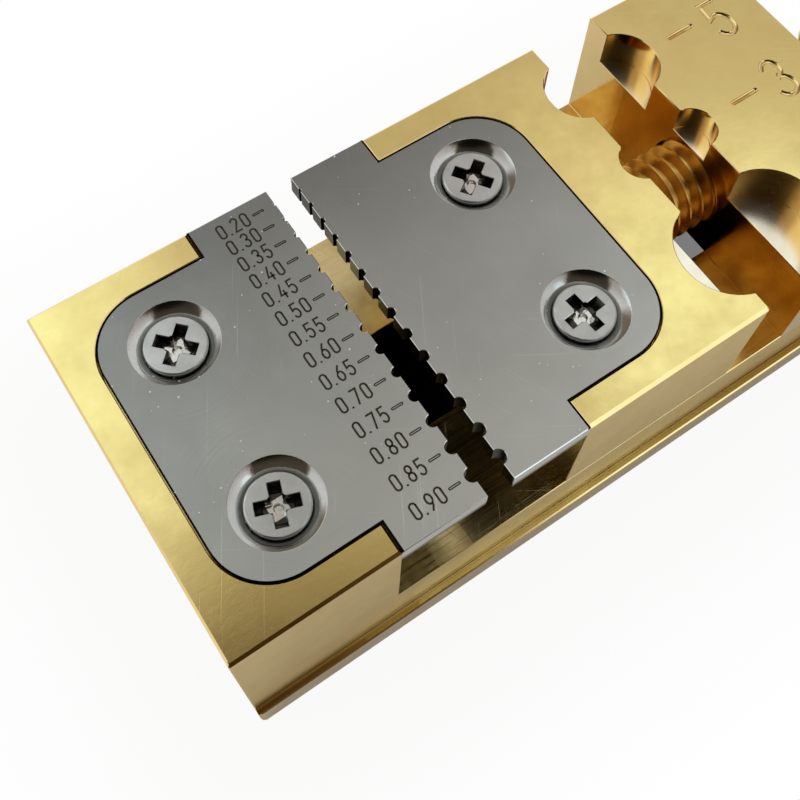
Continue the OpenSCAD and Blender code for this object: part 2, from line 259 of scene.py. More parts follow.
@dataclass(frozen=True)
class Metal:
    """A metal and the zones of its skin.

    Attributes:
        name: The material's name.
        zones: The zones, of which a later one lies over the earlier ones. The first has no bounds.
        chatter: Cutter marks on it.
        cloud_mm: Size of the patches of tarnish.
        specks: Whether tiny bright chips and dust lie on it.
        strays: Turn, width and length in millimetres of stray scratches, wider than real ones so that
            they show.
    """

    name: str
    zones: tuple[Zone, ...]
    chatter: tuple[Chatter, ...] = ()
    cloud_mm: float = 5.0
    specks: bool = False
    strays: tuple[Triple, ...] = ((0.55, 0.07, 9.0), (2.1, 0.06, 7.0), (1.2, 0.055, 5.0))

    def scratches(self, skin: Surface) -> Socket:
        """Draws the stray scratches as a mask."""
        total: Value = 0.0
        for turn, width, length in self.strays:
            turned = skin.add(
                "ShaderNodeVectorRotate", {"Vector": skin.place, "Angle": turn}, rotation_type="Z_AXIS"
            ).outputs[0]
            thin = skin.vector("MULTIPLY", turned, (1 / length, 1 / width, 1 / length))
            total = skin.maths("MAXIMUM", total, skin.ramp(skin.noise(thin, 0.0), (0.8, 0.86)))
        return total

    def arcs(self, skin: Surface, marks: Chatter) -> Socket:
        """Draws the marks of a turning cutter, in micrometres."""
        offset = skin.vector("SUBTRACT", skin.place, (*marks.centre_mm, 0.0))
        flat = skin.vector("MULTIPLY", skin.vector("ABSOLUTE", offset), (1.0, 1.0, 0.0))
        away = skin.vector("DISTANCE", flat, (*marks.apart_mm, 0.0))
        ring = skin.maths("MULTIPLY", away, 1 / marks.step_mm)
        drift = skin.maths("MULTIPLY", skin.xyz[0], 0.12)
        line = skin.add("ShaderNodeCombineXYZ", {0: ring, 1: drift}).outputs[0]
        height = skin.maths("MULTIPLY", skin.noise(line), marks.depth_um)
        return skin.maths("MULTIPLY", height, skin.within(marks.where.ranges(skin.xyz)))

    def material(self) -> Material:
        """Builds the material: zones first, then marks, tarnish and scratches over all of them."""
        skin = Surface(self.name)
        first = self.zones[0]
        colour, shade = linear(first.colour), linear(first.shade)
        step: Entry = tuple(1 / g for g in first.grain_mm)
        names = ("roughness", "grain_um", "scratch_um", "streaks", "painted_far_shade")
        worked = {name: getattr(first, name) for name in names}
        for zone in self.zones[1:]:
            mask = skin.within(((skin.up, zone.where.up), *zone.where.ranges(skin.xyz)))
            colour = skin.mix(mask, colour, linear(zone.colour), "RGBA")
            shade = skin.mix(mask, shade, linear(zone.shade), "RGBA")
            step = skin.mix(mask, step, tuple(1 / g for g in zone.grain_mm), "VECTOR")
            for name in names:
                worked[name] = skin.mix(mask, worked[name], getattr(zone, name))
        patches = skin.noise(skin.vector("SCALE", skin.place, 1 / self.cloud_mm), 3.0)
        marks = skin.noise(skin.vector("MULTIPLY", skin.place, step))
        cuts = skin.maths("MULTIPLY", self.scratches(skin), worked["scratch_um"])
        height = skin.maths("SUBTRACT", skin.maths("MULTIPLY", marks, worked["grain_um"]), cuts)
        for turned in self.chatter:
            height = skin.maths("ADD", height, self.arcs(skin, turned))
        relief = skin.add("ShaderNodeBump", {"Height": height, "Distance": 1e-6, "Strength": 1.0})
        along = skin.maths("MULTIPLY", skin.ramp(marks, (0.35, 0.65)), worked["streaks"])
        cloudy = (0.3, 0.7)
        cloud = skin.maths("MAXIMUM", skin.ramp(patches, cloudy, (0.0, 0.8)), along)
        blur = skin.maths("ADD", skin.ramp(patches, cloudy, (-0.03, 0.03)), worked["roughness"])
        tint = skin.mix(cloud, colour, shade, "RGBA")
        tint = skin.mix(skin.maths("MULTIPLY", cuts, 0.12), tint, WHITE, "RGBA")
        # Painted shade: the colour is darkened towards the vise's far side, down to the zone's far share.
        painted_far_dimming = skin.ramp(skin.xyz[1], (11.5, -11.5), (worked["painted_far_shade"], 1.0))
        tint = skin.vector("SCALE", tint, painted_far_dimming)
        if self.specks:
            tint, blur = self.dusted(skin, tint, blur, patches)
        shader = skin.add(
            "ShaderNodeBsdfPrincipled",
            {"Base Color": tint, "Metallic": 1.0, "Roughness": blur, "Normal": relief.outputs[0]},
        )
        return skin.close(shader)

    def dusted(self, skin: Surface, tint: Value, blur: Value, patches: Value) -> tuple[Socket, Socket]:
        """Strews tiny bright specks over a colour and a roughness, most of them in some patches."""
        cells = skin.add("ShaderNodeTexVoronoi", {"Vector": skin.place, "Scale": 1.9}).outputs
        chance = skin.add("ShaderNodeSeparateXYZ", {0: cells["Color"]}).outputs
        size = skin.maths("MULTIPLY", chance[0], 0.12)
        near = skin.maths("LESS_THAN", cells["Distance"], size)
        rare = skin.ramp(patches, (0.4, 0.6), (0.9, 0.35))
        some = skin.maths("MULTIPLY", near, skin.maths("GREATER_THAN", chance[1], rare))
        return skin.mix(some, tint, WHITE, "RGBA"), skin.mix(some, blur, 0.75)


@dataclass(frozen=True)
class Layout:
    """Places along the vise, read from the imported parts, in metres."""

    left: float
    top: float
    axis: float

    @classmethod
    def read(cls) -> "Layout":
        """Reads the places from the frame's boxes."""
        bed_low, bed_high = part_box("bed")
        screw_low, screw_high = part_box("lead_screw")
        return cls(left=bed_low.x, top=bed_high.z, axis=(screw_low.z + screw_high.z) / 2)

    def along(self, mm: float) -> float:
        """Returns the X of a place given in millimetres from the bed's left end."""
        return self.left + mm * MM


def add_object(name: str, corners: list, faces: list, finish: Material | None) -> Object:
    """Adds a mesh object to the scene.

    Args:
        name: Its name.
        corners: Its points, in metres.
        faces: Its faces, as lists of point numbers.
        finish: Its material, None for a hidden cutter.

    Returns:
        The new object.
    """
    mesh = bpy.data.meshes.new(name)
    mesh.from_pydata([tuple(c) for c in corners], [], faces)
    if finish is not None:
        mesh.materials.append(finish)
    tidy = bmesh.new()
    tidy.from_mesh(mesh)
    bmesh.ops.remove_doubles(tidy, verts=tidy.verts, dist=1e-8)
    bmesh.ops.recalc_face_normals(tidy, faces=tidy.faces)
    tidy.to_mesh(mesh)
    tidy.free()
    made = bpy.data.objects.new(name, mesh)
    bpy.context.scene.collection.objects.link(made)
    return made


def solid_between(outlines: list[list]) -> tuple[list, list]:
    """Joins closed outlines of as many corners each into the corners and faces of a solid."""
    count = len(outlines[0])
    corners = [corner for outline in outlines for corner in outline]
    faces = [list(range(count)), list(range(len(corners) - count, len(corners)))]
    for start in range(0, len(corners) - count, count):
        for k in range(count):
            one, other = start + k, start + (k + 1) % count
            faces.append([one, other, other + count, one + count])
    return corners, faces


def hidden_cutters(name: str, solids: list[tuple[list, list]]) -> Collection:
    """Puts solids, each its corners and faces, into a collection that no render shows."""
    hidden = bpy.data.collections.new(name)
    bpy.context.scene.collection.children.link(hidden)
    for number, (corners, faces) in enumerate(solids):
        cutter = add_object(f"{name}_{number}", corners, faces, None)
        bpy.context.scene.collection.objects.unlink(cutter)
        hidden.objects.link(cutter)
        cutter.hide_render = True
    return hidden


def modify(part: Object, name: str, kind: str, **settings) -> None:
    """Adds a modifier with its settings."""
    modifier = part.modifiers.new(name, kind)
    for setting, value in settings.items():
        setattr(modifier, setting, value)


def shade_group(name: str) -> tuple[NodeTree, Tree, Socket]:
    """Starts the node group of a modifier, with the geometry that comes in."""
    group = bpy.data.node_groups.new(name, "GeometryNodeTree")
    for way in ("INPUT", "OUTPUT"):
        group.interface.new_socket("Geometry", in_out=way, socket_type="NodeSocketGeometry")
    tree = Tree(group)
    return group, tree, tree.add("NodeGroupInput").outputs[0]


def sharper(tree: Tree, degrees: float) -> Socket:
    """Returns 1 on the edges that bend by more than an angle."""
    angle = tree.add("GeometryNodeInputMeshEdgeAngle").outputs[0]
    return tree.maths("GREATER_THAN", angle, math.radians(degrees))


def smoothing() -> NodeTree:
    """Builds the node group that shades faces smoothly and keeps sharp edges crisp."""
    group, tree, whole = shade_group("smooth_by_angle")
    bare = tree.add("GeometryNodeRemoveAttribute", {"Geometry": whole, "Name": "custom_normal"})
    kind = "GeometryNodeSetShadeSmooth"
    smooth = tree.add(kind, {"Geometry": bare.outputs[0], "Shade Smooth": True}, domain="FACE")
    crisp = tree.add(
        kind,
        {"Geometry": smooth.outputs[0], "Selection": sharper(tree, SMOOTH_DEG), "Shade Smooth": False},
        domain="EDGE",
    )
    tree.add("NodeGroupOutput", {0: crisp.outputs[0]})
    return group


@dataclass(frozen=True)
class EdgeRule:
    """A width of chamfer, and the ranges of places that the middles of its edges lie in."""

    width_mm: float
    x: Point | None = None
    y: Point | None = None
    z: Point | None = None


@dataclass
class Dresser:
    """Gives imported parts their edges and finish."""

    smooth: NodeTree = field(default_factory=smoothing)

    def edge_widths(self, node: str, rules: tuple[EdgeRule, ...], widest_mm: float) -> NodeTree:
        """Builds the node group that gives each sharp edge its share of the widest chamfer."""
        group, tree, whole = shade_group(node + "_edges")
        spot = tree.vector("SCALE", tree.add("GeometryNodeInputPosition").outputs[0], 1 / MM)
        xyz = tree.add("ShaderNodeSeparateXYZ", {0: spot}).outputs
        share: Value = 0.0
        for rule in rules:
            mask = tree.within(zip(xyz, (rule.x, rule.y, rule.z)))
            share = tree.mix(mask, share, rule.width_mm / widest_mm)
        weight = tree.maths("MULTIPLY", share, sharper(tree, SHARP_DEG))
        stored = tree.add(
            "GeometryNodeStoreNamedAttribute",
            {"Geometry": whole, "Name": "bevel_weight_edge", "Value": weight},
            data_type="FLOAT",
            domain="EDGE",
        )
        tree.add("NodeGroupOutput", {0: stored.outputs[0]})
        return group

    def dress(
        self,
        node: str,
        finish: Material,
        rules: tuple[EdgeRule, ...],
        segments: int = 1,
        cutters: Collection | None = None,
    ) -> None:
        """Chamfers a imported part, engraves it and gives it its finish.

        Args:
            node: The part's name.
            finish: Its material.
            rules: Its chamfers, of which a later rule goes over the earlier ones.
            segments: 1 for a flat chamfer, more for a rounded edge.
            cutters: Shapes that are engraved into it.
        """
        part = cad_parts[node]
        part.data.materials[0] = finish
        widest = max(rule.width_mm for rule in rules)
        modify(part, "weld", "WELD", merge_threshold=0.001 * MM)
        modify(part, "merge_flat_faces", "DECIMATE", decimate_type="DISSOLVE", angle_limit=math.radians(0.3))
        modify(part, "edge_widths", "NODES", node_group=self.edge_widths(node, rules, widest))
        modify(part, "chamfer", "BEVEL", width=widest * MM, segments=segments, limit_method="WEIGHT",
               use_clamp_overlap=False)
        if cutters is not None:
            modify(part, "engrave", "BOOLEAN", operation="DIFFERENCE", solver="EXACT",
                   operand_type="COLLECTION", collection=cutters)
        modify(part, "smooth_by_angle", "NODES", node_group=self.smooth)
        modify(part, "even_flat_faces", "WEIGHTED_NORMAL", keep_sharp=True, weight=100)
        LOG.info("dressed %s, chamfers up to %.2f mm", node, widest)


def arc(middle: Point, reach: Point, start: float, end: float, count: int = 13) -> list[Point]:
    """Returns points along an elliptic arc.

    Args:
        middle: Its centre.
        reach: Its radii along x and y.
        start, end: Angles in degrees.
        count: Number of points.

    Returns:
        The points in order.
    """
    turns = [math.radians(start + (end - start) * i / (count - 1)) for i in range(count)]
    return [(middle[0] + reach[0] * math.cos(t), middle[1] + reach[1] * math.sin(t)) for t in turns]


def circle(sides: int) -> list[Point]:
    """Returns the corners of a regular shape with a radius of 1."""
    turns = [math.tau * k / sides for k in range(sides)]
    return [(math.cos(turn), math.sin(turn)) for turn in turns]


class Glyphs:
    """Plain monoline numerals, as strokes in a box one wide and one high."""

    STROKES: dict[str, list[list[Point]]] = {
        "0": [arc((0.5, 0.8), (0.5, 0.2), 0, 180) + arc((0.5, 0.2), (0.5, 0.2), 180, 360) + [(1.0, 0.8)]],
        "2": [arc((0.5, 0.79), (0.5, 0.21), 165, -25) + [(0.0, 0.0), (1.0, 0.0)]],
        "3": [arc((0.47, 0.765), (0.46, 0.235), 155, -90) + arc((0.47, 0.265), (0.53, 0.265), 90, -155)],
        "4": [[(0.62, 1.0), (0.0, 0.26), (1.0, 0.26)], [(0.74, 0.5), (0.74, 0.0)]],
        "5": [[(0.92, 1.0), (0.12, 1.0), (0.06, 0.55)] + arc((0.48, 0.31), (0.52, 0.31), 118, -150)],
        "6": [[(0.78, 1.0), (0.34, 0.72)] + arc((0.5, 0.31), (0.5, 0.31), 160, -200, 17)],
        "7": [[(0.0, 1.0), (1.0, 1.0), (0.34, 0.0)]],
        "8": [arc((0.5, 0.76), (0.44, 0.24), 0, 360, 15), arc((0.5, 0.26), (0.5, 0.26), 0, 360, 15)],
        "9": [[(0.22, 0.0), (0.66, 0.28)] + arc((0.5, 0.69), (0.5, 0.31), -20, -380, 17)],
    }

    @classmethod
    def placed(cls, glyph: str, low: Point, size: Point) -> list[list[Point]]:
        """Returns a numeral's strokes, from the low corner and the size of their centre lines."""
        return [[(low[0] + x * size[0], low[1] + y * size[1]) for x, y in stroke]
                for stroke in cls.STROKES[glyph]]


@dataclass(frozen=True)
class Pen:
    """Turns strokes into solids with round ends.

    Attributes:
        half: Half of a stroke's width.
        section: Corners of a stroke's cross-section, as shares of half across and as lengths up.
        round_up: Whether the cross-section also narrows upward at the ends.
        cap_steps: Number of steps in a round end.
        cap_deg: How far round an end they go.
        least_cosine: Bound on the widening at a stroke's corners.
    """

    half: float
    section: tuple[Point, ...]
    round_up: bool = False
    cap_steps: int = 4
    cap_deg: float = 85.0
    least_cosine: float = 0.6

    def stations(self, stroke: list[Point]) -> list[tuple[Point, Point, float]]:
        """Returns places along a stroke, each with its sideways direction and its share of the width."""
        points = [Vector(p) for p in stroke]
        steps = [(point - before).normalized() for before, point in zip(points, points[1:])]
        sides: list[Vector] = []
        for before, after in zip(steps[:1] + steps, steps + steps[-1:]):
            along = (before + after).normalized()
            stretch = 1 / max(self.least_cosine, along.dot(before))
            sides.append(Vector((-along.y, along.x)) * stretch)
        rows = [(point, side, 1.0) for point, side in zip(points, sides)]
        start, end = -steps[0], steps[-1]
        for step in range(1, self.cap_steps + 1):
            turn = math.radians(self.cap_deg) * step / self.cap_steps
            out, share = math.sin(turn) * self.half, math.cos(turn)
            rows.insert(0, (points[0] + start * out, sides[0], share))
            rows.append((points[-1] + end * out, sides[-1], share))
        return rows

    def sweep(self, stroke: list[Point], base: float) -> tuple[list, list]:
        """Sweeps the cross-section, which counts from a base height, along a stroke in metres."""
        outlines = []
        for point, side, share in self.stations(stroke):
            outline = []
            for across, up in self.section:
                reach = across * self.half * share
                height = up * (share if self.round_up else 1.0)
                outline.append((point.x + side.x * reach, point.y + side.y * reach, base + height))
            outlines.append(outline)
        return solid_between(outlines)


@dataclass
class Graduations:
    """The black laser-marked widths beside the notches, 0.20 to 0.90 mm.

    Attributes:
        block_mm: Width of the jaw across the vise.
        figures_mm: Left edges of the figures from the bed's left end.
        point_mm: Place of the decimal point.
        dash_mm: Start and end of the dash, and half of its height.
        size_mm: Width and height of a figure.
        stroke_mm: Width of the figures' strokes.
        outline_mm: Width of the line round a dash.
        proud_mm: Height of the oxide over the steel.
    """

    block_mm: float = 23.0
    figures_mm: Triple = (11.965, 12.915, 13.565)
    point_mm: float = 12.62
    dash_mm: Triple = (14.37, 14.97, 0.06)
    size_mm: Point = (0.37, 0.94)
    stroke_mm: float = 0.115
    outline_mm: float = 0.07
    proud_mm: float = 0.008

    def rows(self) -> list[tuple[int, float]]:
        """Returns each width in hundredths of a millimetre, with its place across the vise in millimetres."""
        widths = [20, 30] + list(range(35, 91, 5))
        land = (self.block_mm - sum(widths) / 100) / (len(widths) + 1)
        rows = []
        edge = self.block_mm / 2
        for width in widths:
            edge -= land
            rows.append((width, edge - width / 200))
            edge -= width / 100
        return rows

    def build(self, layout: Layout, finish: Material) -> None:
        """Builds the marks as one thin piece per row."""
        proud = self.proud_mm * MM
        thin = ((-1.0, -proud), (1.0, -proud), (1.0, proud), (-1.0, proud))
        figure = Pen(self.stroke_mm / 2 * MM, thin)
        bar = Pen(self.outline_mm / 2 * MM, thin)
        for width, y in self.rows():
            low = y - self.size_mm[1] / 2
            strokes = [(figure, s) for i, glyph in enumerate(f"0{width}")
                       for s in Glyphs.placed(glyph, (self.figures_mm[i], low), self.size_mm)]
            spot, half_dot = self.point_mm, 0.012
            strokes.append((figure, [(spot - half_dot, low), (spot + half_dot, low)]))
            left, right, tall = self.dash_mm
            loop = arc((right, y), (tall, tall), -90, 90) + arc((left, y), (tall, tall), 90, 270)
            loop.append((right, y - tall))
            strokes.append((bar, loop))
            corners: list = []
            faces: list = []
            for pen, stroke in strokes:
                new, quads = pen.sweep([(layout.along(px), py * MM) for px, py in stroke], layout.top)
                faces += [[i + len(corners) for i in quad] for quad in quads]
                corners += new
            marks = add_object(f"graduation_{width}", corners, faces, finish)
            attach(marks, Body.BED.value)
        LOG.info("marked %d graduations", len(self.rows()))


@dataclass
class CrossRecess:
    """The tapered, slightly worn arms and the cone of a plate screw's cross.

    Attributes:
        turn_deg: How far each screw's cross is turned.
        arm_mm: Height from the screw's face, length and width of a pair of arms, from the top down.
        cone_mm: Height from the screw's face and radius of the cone, from the top down.
        sides: Number of the cone's sides.
    """

    turn_deg: dict[str, float] = field(default_factory=lambda: {
        "fixed_plate_screw_near": 70, "fixed_plate_screw_far": 44,
        "moving_plate_screw_near": 5, "moving_plate_screw_far": 35,
    })
    arm_mm: tuple[Triple, ...] = ((0.04, 2.72, 0.9), (-0.04, 2.56, 0.74), (-0.78, 1.7, 0.5))
    cone_mm: tuple[Point, ...] = ((0.05, 0.68), (-0.3, 0.5), (-1.0, 0.22))
    sides: int = 24

    def cutters(self, node: str) -> Collection:
        """Builds the hidden shapes that are cut out of a screw."""
        low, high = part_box(node)
        middle = Vector(((low.x + high.x) / 2, (low.y + high.y) / 2, high.z)) / MM
        corners = ((0.5, 0.5), (-0.5, 0.5), (-0.5, -0.5), (0.5, -0.5))
        arms = [(height, [(x * length, y * width) for x, y in corners])
                for height, length, width in self.arm_mm]
        cone = [(height, [(r * x, r * y) for x, y in circle(self.sides)]) for height, r in self.cone_mm]
        turn = self.turn_deg[node]
        solids = [self.stacked(middle, *shape) for shape in ((arms, turn), (arms, turn + 90), (cone, 0))]
        return hidden_cutters(node + "_recess", solids)

    def stacked(
        self, middle: Vector, levels: list[tuple[float, list[Point]]], turn: float
    ) -> tuple[list, list]:
        """Returns the solid between outlines that lie one over another, turned about the middle."""
        spin = Matrix.Rotation(math.radians(turn), 3, "Z")
        return solid_between([[(middle + spin @ Vector((x, y, height))) * MM for x, y in outline]
                              for height, outline in levels])


@dataclass
class PocketNumbers:
    """The pocket sizes 7, 3 and 5 with their dashes, cut into the nut block with a round-nosed cutter.

    Attributes:
        figure_mm: Left edge of the figures from the bed's left end.
        size_mm: Width and height of a figure's centre lines.
        dash_mm: Start and end of a dash.
        places_mm: Each figure with the place of its middle and of its dash across the vise.
        cutter_mm: Radius of the cutter's nose.
        lift_mm: Height of the nose's middle above the block.
    """

    figure_mm: float = 47.64
    size_mm: Point = (1.32, 2.96)
    dash_mm: Point = (44.36, 46.29)
    places_mm: tuple[tuple[str, float, float], ...] = (
        ("7", -6.9, -6.9), ("3", 0.78, 0.86), ("5", 6.74, 7.25),
    )
    cutter_mm: float = 0.2
    lift_mm: float = 0.07

    def cutters(self, layout: Layout) -> Collection:
        """Builds the hidden shapes that the numbers are cut with."""
        ring = tuple((across, up * self.cutter_mm * MM) for across, up in circle(14))
        nose = Pen(self.cutter_mm * MM, ring, round_up=True)
        solids = []
        for glyph, middle, dash in self.places_mm:
            low = (self.figure_mm, middle - self.size_mm[1] / 2)
            strokes = Glyphs.placed(glyph, low, self.size_mm)
            strokes.append([(self.dash_mm[0], dash), (self.dash_mm[1], dash)])
            for stroke in strokes:
                path = [(layout.along(px), py * MM) for px, py in stroke]
                solids.append(nose.sweep(path, layout.top + self.lift_mm * MM))
        return hidden_cutters("pocket_numbers", solids)


@dataclass
class LeadScrew:
    """The lead screw with its real helix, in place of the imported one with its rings.

    Attributes:
        thread_r_mm: Outer radius of the thread.
        plain_r_mm: Radius of the nose and the shank.
        pitch_mm: Pitch of the thread.
        phase: Where on a turn the helix starts, as a share of a turn.
        profile: The thread's shape over one pitch, as shares of the pitch and of the depth.
        depth_mm: Depth of the thread.
        start_mm: Start of the thread from the moving block's right side.
        run_out_mm: Lengths over which the thread runs out at its start and its end.
        neck_mm: Plain neck between the thread and the knob.
        groove_mm: Start and end of the nose's groove, from the nose's tip.
        groove_r_mm: Radius left in the groove.
        tip_mm: Length and depth of the chamfers at the ends.
        flat_mm: Depth of the flat under the knob's grub screw.
        steps_round: Number of steps round the screw.
    """

    thread_r_mm: float = 3.0
    plain_r_mm: float = 2.0
    pitch_mm: float = 1.0
    phase: float = 0.21
    profile: tuple[Point, ...] = ((0.0, 0.0), (0.1, 0.0), (0.42, 1.0), (0.58, 1.0), (0.9, 0.0))
    depth_mm: float = 0.58
    start_mm: float = 0.3
    run_out_mm: Point = (0.9, 0.6)
    neck_mm: float = 0.6
    groove_mm: Point = (2.42, 4.02)
    groove_r_mm: float = 1.3
    tip_mm: Point = (0.4, 0.4)
    flat_mm: float = 0.35
    steps_round: int = 120

    def build(self, layout: Layout, finish: Material) -> None:
        """Builds the screw as one closed skin round its axis."""
        start, end = (corner.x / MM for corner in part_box("lead_screw"))
        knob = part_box("knob")[0].x / MM
        thread = (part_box("moving_block")[1].x / MM + self.start_mm, knob - self.neck_mm)
        r, length, depth = self.plain_r_mm, *self.tip_mm
        low, high = (start + place for place in self.groove_mm)
        rings = [self.ring(layout, x, radius, knob) for x, radius in (
            (start, r - depth), (start + length, r), (low, r), (low, self.groove_r_mm),
            (high, self.groove_r_mm), (high, r), (thread[0], r))]
        turns = math.ceil((thread[1] - thread[0]) / self.pitch_mm) + 1
        first = len(rings)
        for row in range(turns * len(self.profile) + 1):
            share, height = self.profile[row % len(self.profile)]
            begin = row // len(self.profile) + share + self.phase - 1
            rings.append([self.on_thread(layout, thread, begin + k / self.steps_round, height, k)
                          for k in range(self.steps_round)])
        last = len(rings)
        inside = knob + 0.01
        rings += [self.ring(layout, x, radius, knob) for x, radius in (
            (thread[1], r), (knob, r), (inside, r), (end - length, r), (end, r - depth))]
        faces = self.skin(first, last, len(rings))
        screw = add_object("lead_screw_thread", [c for ring in rings for c in ring], faces, finish)
        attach(screw, Body.SPINDLE.value)
        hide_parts("lead_screw")
        modify(screw, "smooth_by_angle", "NODES", node_group=bpy.data.node_groups["smooth_by_angle"])
        LOG.info("built the lead screw, %d faces", len(screw.data.polygons))

    def skin(self, first: int, last: int, count: int) -> list[list[int]]:
        """Joins the rings of corners, from first to last along the helix and straight elsewhere.

        Args:
            first, last: Numbers of the thread's first ring and of the one after its last.
            count: Number of rings.

        Returns:
            The faces.
        """
        n, turn = self.steps_round, len(self.profile)
        faces = [list(range(n)), list(range((count - 1) * n, count * n))]
        for row in range(count - 1):
            for k in range(n):
                ahead = 0 if k + 1 < n or not first <= row < last - 1 else turn
                if row + 1 + ahead >= count or (ahead and row + 1 + ahead >= last):
                    continue
                a, b = row * n + k, (row + ahead) * n + (k + 1) % n
                faces.append([a, b, b + n, a + n])
        return faces

    def ring(self, layout: Layout, x: float, radius: float, knob: float) -> list[tuple]:
        """Returns a ring of corners, cut by the shank's flat past the knob's near side."""
        top = self.plain_r_mm - self.flat_mm if x > knob else radius
        return [(x * MM, radius * across * MM, layout.axis + min(radius * up, top) * MM)
                for up, across in circle(self.steps_round)]

    def on_thread(self, layout: Layout, thread: Point, along: float, height: float, k: int) -> tuple:
        """Returns a corner of the thread, which runs out to the plain screw at both ends."""
        x = min(max(thread[0] + along * self.pitch_mm, thread[0]), thread[1])
        start, end = self.run_out_mm
        full = max(0.0, min((x - thread[0]) / start, (thread[1] - x) / end, 1.0))
        root = self.thread_r_mm - self.depth_mm
        radius = self.plain_r_mm + (root - self.plain_r_mm) * min(1.0, full * 3)
        radius += self.depth_mm * height * full
        turn = math.tau * k / self.steps_round
        return (x * MM, radius * math.sin(turn) * MM, layout.axis + radius * math.cos(turn) * MM)


@dataclass(frozen=True)
class Patch:
    """A soft round lamp or flag of the studio's dome.

    Attributes:
        kind: Whether it adds light or keeps it away.
        azimuth_deg: Its bearing, counted from +X towards +Y.
        height_deg: Its height over the horizon.
        core_deg: Angle from its middle up to which it keeps its full strength.
        edge_deg: Angle from its middle at which it ends.
        strength: What a lamp adds, or the share of light that a flag takes.
    """

    kind: Light
    azimuth_deg: float
    height_deg: float
    core_deg: float
    edge_deg: float
    strength: float

    def towards(self) -> Vector:
        """Returns the direction of its middle."""
        bearing, height = math.radians(self.azimuth_deg), math.radians(self.height_deg)
        flat = math.cos(height)
        return Vector((flat * math.cos(bearing), flat * math.sin(bearing), math.sin(height)))


